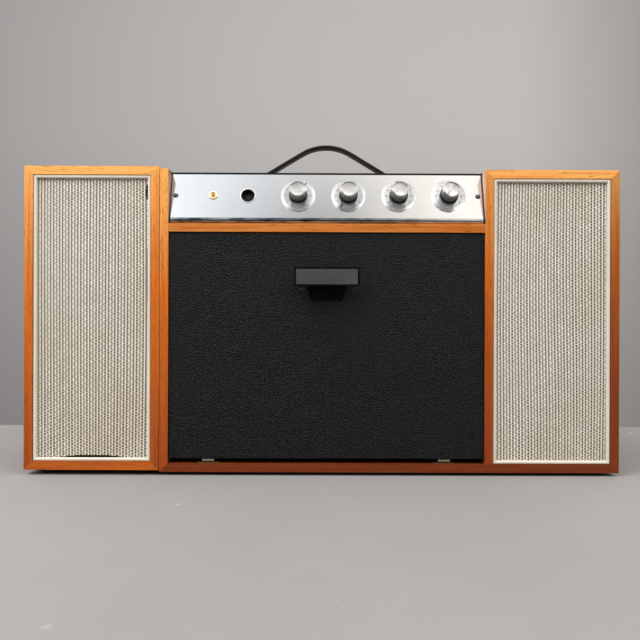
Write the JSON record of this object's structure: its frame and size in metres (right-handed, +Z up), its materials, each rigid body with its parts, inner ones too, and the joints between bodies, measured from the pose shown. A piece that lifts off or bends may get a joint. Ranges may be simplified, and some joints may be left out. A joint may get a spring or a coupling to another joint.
{
  "type": "portable record player",
  "caption": "Portable stereo record player in a wooden case, with a drop-down door that carries the changer, a sloping control panel and a detachable loudspeaker.",
  "frame": {"origin": "middle of the footprint, on the surface that the set stands on", "axes": "+X to the right along the front, +Y from the front to the back, +Z up"},
  "size_m": [0.6676, 0.203, 0.397],
  "materials": {
    "oak": "satin varnish, warm orange brown",
    "pine": "raw",
    "hardboard": "dark brown hardboard",
    "leathercloth": "black, fine grain",
    "cover_black": "satin black",
    "panel_aluminium": "bright, brushed along its length",
    "bright_metal": "polished",
    "steel": "plain",
    "brass": "aged",
    "black_plastic": "gloss",
    "cream_plastic": "cream, slightly yellowed",
    "cloth": "woven, cream and beige",
    "rubber": "matte",
    "amber": "amber lens",
    "paper": "pressed paper",
    "deck_paint": "light grey-cream enamel",
    "socket_plastic": "matte"
  },
  "bodies": {
    "cabinet": {"cabinet_left_side": "oak", "cabinet_divider": "oak", "cabinet_right_side": "oak", "cabinet_base_board": "oak", "cabinet_top_board": "oak", "amplifier_shelf": "oak", "top_cover": "cover_black", "back_panel": "hardboard", "cabinet_screws": "steel", "cabinet_feet": "rubber", "control_panel": "panel_aluminium", "pilot_lamp": "amber", "din_sockets": "socket_plastic", "amplifier": "steel", "potentiometers": "steel", "handle_strap": "black_plastic", "handle_end_caps": "black_plastic", "baffle_right": "pine", "grille_trim_right": "cream_plastic", "grille_cloth_right": "cloth", "speaker_driver_right": "paper", "dock_studs": "steel", "mains_gland": "socket_plastic", "cabinet_hinge_leaves": "brass", "door_catches": "steel"},
    "door": {"door_board": "pine", "door_covering": "leathercloth", "door_hinge_leaves": "brass", "pull_handle": "black_plastic", "pull_plate": "panel_aluminium", "deck_frame": "pine", "deck_plate": "deck_paint", "motor": "steel", "arm_pedestal": "cream_plastic", "arm_rest": "cream_plastic", "centre_spindle": "bright_metal"},
    "turntable": {"platter": "deck_paint", "platter_mat": "rubber"},
    "pulley": {"motor_pulley": "brass"},
    "idler": {"idler_wheel": "rubber"},
    "turret": {"tonearm_turret": "cream_plastic"},
    "pickup_arm": {"tonearm": "cream_plastic", "cartridge": "black_plastic"},
    "record_overarm": {"overarm": "cream_plastic"},
    "speed_control": {"speed_lever": "black_plastic"},
    "start_control": {"start_lever": "black_plastic"},
    "balance_control": {"balance_knob": "bright_metal"},
    "volume_control": {"volume_knob": "bright_metal"},
    "treble_control": {"treble_knob": "bright_metal"},
    "bass_control": {"bass_knob": "bright_metal"},
    "left_speaker": {"speaker_case": "oak", "speaker_back": "hardboard", "speaker_screws": "steel", "speaker_feet": "rubber", "baffle_left": "pine", "grille_trim_left": "cream_plastic", "grille_cloth_left": "cloth", "speaker_driver_left": "paper", "keyhole_plates": "steel", "lead_socket": "socket_plastic"}
  },
  "joints": [
    {"name": "door_hinge", "type": "hinge", "parent": "cabinet", "child": "door", "pos_m": [0.00505, -0.08495, 0.0167], "axis": [1, 0, 0], "range_deg": [0, 90]},
    {"name": "platter_spin", "type": "hinge", "parent": "door", "child": "turntable", "pos_m": [-0.03295, -0.00345, 0.1347], "axis": [0, -1, 0], "continuous": true},
    {"name": "idler_spin", "type": "hinge", "parent": "door", "child": "idler", "pos_m": [-0.07158, -0.01165, 0.18987], "axis": [0, -1, 0], "continuous": true},
    {"name": "motor_spin", "type": "hinge", "parent": "door", "child": "pulley", "pos_m": [-0.08425, -0.02015, 0.17177], "axis": [0, -1, 0], "continuous": true},
    {"name": "tonearm_swing", "type": "hinge", "parent": "door", "child": "turret", "pos_m": [0.11805, 0.00505, 0.0547], "axis": [0, -1, 0], "range_deg": [0, 50]},
    {"name": "tonearm_lift", "type": "hinge", "parent": "turret", "child": "pickup_arm", "pos_m": [0.11805, 0.02105, 0.0547], "axis": [-0.9945, 0, 0.1045], "range_deg": [0, 12]},
    {"name": "overarm_swing", "type": "hinge", "parent": "door", "child": "record_overarm", "pos_m": [0.08505, -0.00995, 0.0327], "axis": [0, 1, 0], "range_deg": [0, 60]},
    {"name": "speed_select", "type": "hinge", "parent": "door", "child": "speed_control", "pos_m": [0.16305, -0.01995, 0.1867], "axis": [0, 1, 0], "range_deg": [-15, 30]},
    {"name": "start_select", "type": "hinge", "parent": "door", "child": "start_control", "pos_m": [0.16305, -0.01995, 0.2247], "axis": [0, 1, 0], "range_deg": [-20, 20]},
    {"name": "balance_turn", "type": "hinge", "parent": "cabinet", "child": "balance_control", "pos_m": [-0.0277, -0.08174, 0.31744], "axis": [0, 0.9659, -0.2588], "range_deg": [-180, 120]},
    {"name": "volume_turn", "type": "hinge", "parent": "cabinet", "child": "volume_control", "pos_m": [0.02945, -0.08174, 0.31744], "axis": [0, 0.9659, -0.2588], "range_deg": [0, 284]},
    {"name": "treble_turn", "type": "hinge", "parent": "cabinet", "child": "treble_control", "pos_m": [0.0866, -0.08174, 0.31744], "axis": [0, 0.9659, -0.2588], "range_deg": [-145, 155]},
    {"name": "bass_turn", "type": "hinge", "parent": "cabinet", "child": "bass_control", "pos_m": [0.14375, -0.08174, 0.31744], "axis": [0, 0.9659, -0.2588], "range_deg": [-158, 142]},
    {"name": "speaker_lift", "type": "slide", "parent": "cabinet", "child": "left_speaker", "axis": [0, 0, 1], "range_m": [0, 0.014]}
  ],
  "couplings": [
    {"joint": "idler_spin", "follows": "platter_spin", "ratio": 4.37},
    {"joint": "motor_spin", "follows": "platter_spin", "ratio": -42.75}
  ]
}
